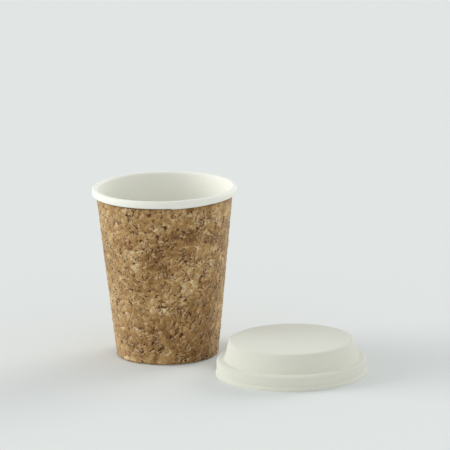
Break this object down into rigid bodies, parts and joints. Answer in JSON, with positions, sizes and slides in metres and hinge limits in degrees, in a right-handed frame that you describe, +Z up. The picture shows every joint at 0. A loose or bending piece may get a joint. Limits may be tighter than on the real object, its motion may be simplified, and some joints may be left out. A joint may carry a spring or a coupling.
{
  "type": "paper coffee cup with lid",
  "caption": "Tapered paper coffee cup with a rolled white rim and a cork wrap, standing beside its flat-topped moulded lid.",
  "frame": {"origin": "middle of the cup's foot ring, on the surface that the cup stands on", "axes": "+Z up along the cup's axis, +X to the right and +Y away, as the picture shows the cup from the front"},
  "size_m": [0.1495, 0.1273, 0.095],
  "materials": {
    "coated_paper": "off-white coated paperboard, satin",
    "cork": "matt agglomerated cork sheet with dark pits and paler grains",
    "lid_plastic": "moulded off-white plastic, satin"
  },
  "bodies": {
    "root": {"cup_wall": "coated_paper", "cup_bottom": "coated_paper", "cork_sleeve": "cork", "lid": "lid_plastic"}
  },
  "joints": []
}
